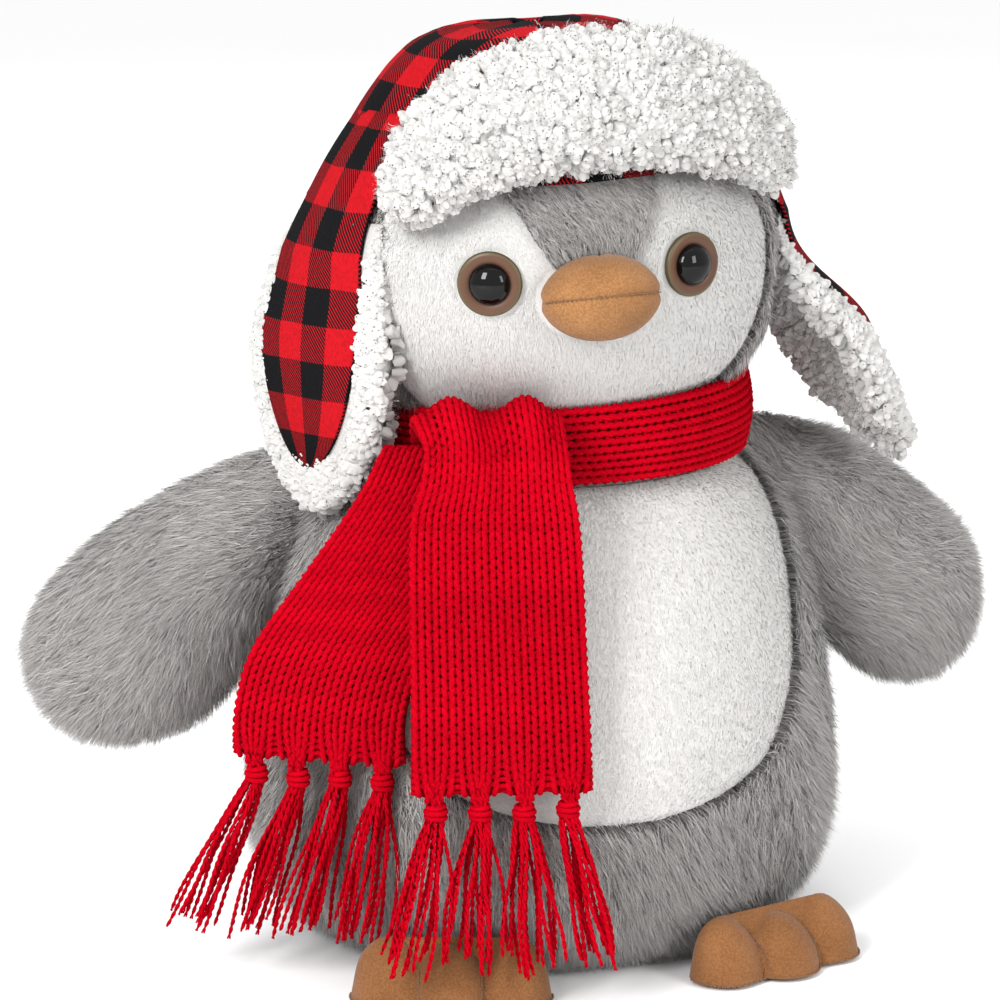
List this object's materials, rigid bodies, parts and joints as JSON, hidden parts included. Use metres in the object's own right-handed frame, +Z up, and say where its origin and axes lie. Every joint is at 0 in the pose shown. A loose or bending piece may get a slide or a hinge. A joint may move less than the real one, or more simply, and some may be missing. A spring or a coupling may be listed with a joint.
{
  "type": "plush penguin",
  "caption": "Soft stuffed penguin that stands by itself, in a checked trapper hat with fleece ear flaps and a fringed knitted scarf.",
  "frame": {"origin": "centre of the flat base panel, at floor level", "axes": "+Z up; -Y the way the penguin faces; +X the toy's own left side"},
  "size_m": [0.3232, 0.1958, 0.296],
  "materials": {
    "grey_fur": "matte",
    "white_plush": "matte",
    "fleece": "matte",
    "check_cloth": "matte",
    "red_knit": "matte",
    "tan_suede": "matte",
    "eye_brown": "satin",
    "eye_black": "gloss",
    "washer_plastic": "satin",
    "wadding": "matte",
    "pellet_plastic": "matte"
  },
  "bodies": {
    "torso": {"base_panel": "grey_fur", "belly_panel": "white_plush", "body_front_panel": "grey_fur", "body_back_panel_left": "grey_fur", "body_back_panel_right": "grey_fur", "body_stuffing": "wadding", "pellet_bag": "white_plush", "pellets": "pellet_plastic", "scarf_neck_band": "red_knit", "scarf_knot": "red_knit"},
    "head": {"face_panel_left": "white_plush", "face_panel_right": "white_plush", "forehead_panel": "grey_fur", "head_back_panel_left": "grey_fur", "head_back_panel_right": "grey_fur", "head_stuffing": "wadding", "beak_upper": "tan_suede", "beak_lower": "tan_suede", "beak_stuffing": "wadding", "eye_rim_left": "eye_brown", "eye_rim_right": "eye_brown", "eye_pupil_left": "eye_black", "eye_pupil_right": "eye_black", "eye_washer_left": "washer_plastic", "eye_washer_right": "washer_plastic", "hat_crown_left": "check_cloth", "hat_crown_right": "check_cloth", "hat_crown_back": "check_cloth", "hat_lining": "fleece", "hat_brim": "fleece", "hat_brim_backing": "check_cloth"},
    "left_ear_flap": {"ear_flap_left": "check_cloth", "ear_flap_lining_left": "fleece"},
    "right_ear_flap": {"ear_flap_right": "check_cloth", "ear_flap_lining_right": "fleece"},
    "left_wing": {"wing_front_panel_left": "grey_fur", "wing_back_panel_left": "grey_fur", "wing_stuffing_left": "wadding"},
    "right_wing": {"wing_front_panel_right": "grey_fur", "wing_back_panel_right": "grey_fur", "wing_stuffing_right": "wadding"},
    "left_foot": {"foot_top_left": "tan_suede", "foot_sole_left": "tan_suede", "foot_stuffing_left": "wadding"},
    "right_foot": {"foot_top_right": "tan_suede", "foot_sole_right": "tan_suede", "foot_stuffing_right": "wadding"},
    "front_tail": {"scarf_front_tail": "red_knit", "scarf_front_fringe": "red_knit"},
    "side_tail": {"scarf_side_tail": "red_knit", "scarf_side_fringe": "red_knit"}
  },
  "joints": [
    {"name": "head_turn", "type": "hinge", "parent": "torso", "child": "head", "pos_m": [0, 0, 0.177], "axis": [0, 0, 1], "range_deg": [-7, 7], "stiffness_Nm_per_rad": 0.6},
    {"name": "left_wing_flap", "type": "hinge", "parent": "torso", "child": "left_wing", "pos_m": [0.066, 0.004, 0.16], "axis": [-0.4352, 0, 0.9003], "range_deg": [-20, 25], "stiffness_Nm_per_rad": 0.3},
    {"name": "right_wing_flap", "type": "hinge", "parent": "torso", "child": "right_wing", "pos_m": [-0.066, 0.004, 0.16], "axis": [-0.4352, 0, -0.9003], "range_deg": [-20, 25], "stiffness_Nm_per_rad": 0.3},
    {"name": "left_flap_swing", "type": "hinge", "parent": "head", "child": "left_ear_flap", "pos_m": [0.0809, -0.015, 0.236], "axis": [0.139, -0.9903, 0], "range_deg": [0, 50], "stiffness_Nm_per_rad": 0.2},
    {"name": "right_flap_swing", "type": "hinge", "parent": "head", "child": "right_ear_flap", "pos_m": [-0.079, -0.031, 0.247], "axis": [-0.5, 0.866, 0], "range_deg": [0, 50], "stiffness_Nm_per_rad": 0.2},
    {"name": "left_foot_tilt", "type": "hinge", "parent": "torso", "child": "left_foot", "pos_m": [0.0517, -0.0754, 0.021], "axis": [-0.9511, -0.309, 0], "range_deg": [0, 16], "stiffness_Nm_per_rad": 0.3},
    {"name": "right_foot_tilt", "type": "hinge", "parent": "torso", "child": "right_foot", "pos_m": [-0.0517, -0.0754, 0.021], "axis": [-0.9511, 0.309, 0], "range_deg": [0, 16], "stiffness_Nm_per_rad": 0.3},
    {"name": "front_tail_swing", "type": "hinge", "parent": "torso", "child": "front_tail", "pos_m": [-0.04, -0.083, 0.163], "axis": [-0.9703, 0.2419, 0], "range_deg": [0, 60]},
    {"name": "side_tail_swing", "type": "hinge", "parent": "torso", "child": "side_tail", "pos_m": [-0.057, -0.068, 0.154], "axis": [0.438, 0.899, 0], "range_deg": [0, 15]}
  ]
}
